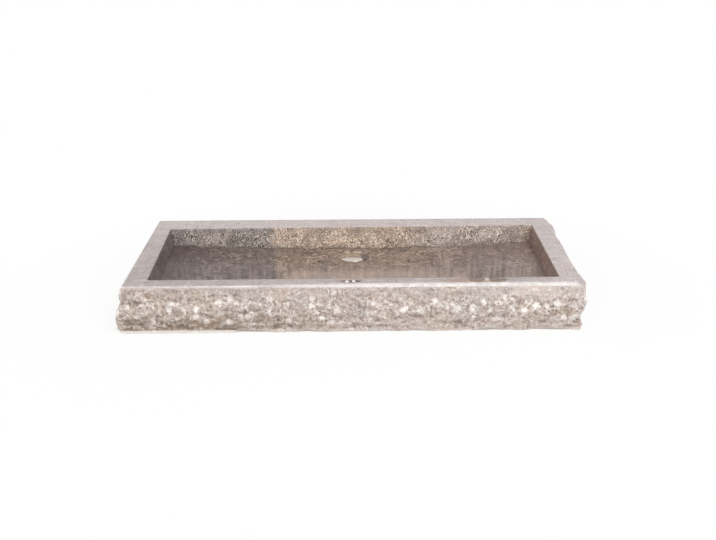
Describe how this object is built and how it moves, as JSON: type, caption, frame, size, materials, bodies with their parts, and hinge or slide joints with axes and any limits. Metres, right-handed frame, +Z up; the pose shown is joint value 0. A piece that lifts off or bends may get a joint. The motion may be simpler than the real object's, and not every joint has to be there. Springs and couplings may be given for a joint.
{
  "type": "stone vessel sink",
  "caption": "Rectangular stone vessel sink with split outer sides, a flat honed rim, a shallow polished basin and a push-to-open drain with a domed metal cap.",
  "frame": {"origin": "middle of the flat base, on the plane that the stone stands on", "axes": "+X along the length, to the right of a person at the front; -Y is the front; +Z up"},
  "size_m": [0.9326, 0.471, 0.097],
  "materials": {
    "stone": "split outer sides, honed rim, polished basin",
    "chrome": "polished plating on brass",
    "brass": "turned, unplated",
    "steel": "bright drawn",
    "rubber": "matt",
    "white_plastic": "matt",
    "acetal": "satin"
  },
  "bodies": {
    "basin": {"stone_basin": "stone", "waste_body": "chrome", "flange_gasket": "rubber", "under_gasket": "rubber", "slip_washer": "white_plastic", "lock_nut": "brass", "click_sleeve": "brass", "sleeve_bush": "acetal", "index_balls": "steel", "ball_clip": "steel", "return_spring": "steel"},
    "plug": {"cap": "chrome", "seal_carrier": "acetal", "cap_seal": "rubber", "cap_nut": "steel", "stem": "steel", "stem_clip": "steel"},
    "drum": {"index_drum": "acetal"}
  },
  "joints": [
    {"name": "plug_lift", "type": "slide", "parent": "basin", "child": "plug", "axis": [0, 0, 1], "range_m": [0, 0.007], "deforming": ["return_spring"]},
    {"name": "drum_turn", "type": "hinge", "parent": "plug", "child": "drum", "pos_m": [0, 0.087, 0.0273], "axis": [0, 0, 1], "range_deg": [0, 45]}
  ],
  "couplings": [
    {"joint": "drum_turn", "follows": "plug_lift", "rad_per_m": 112.2}
  ]
}
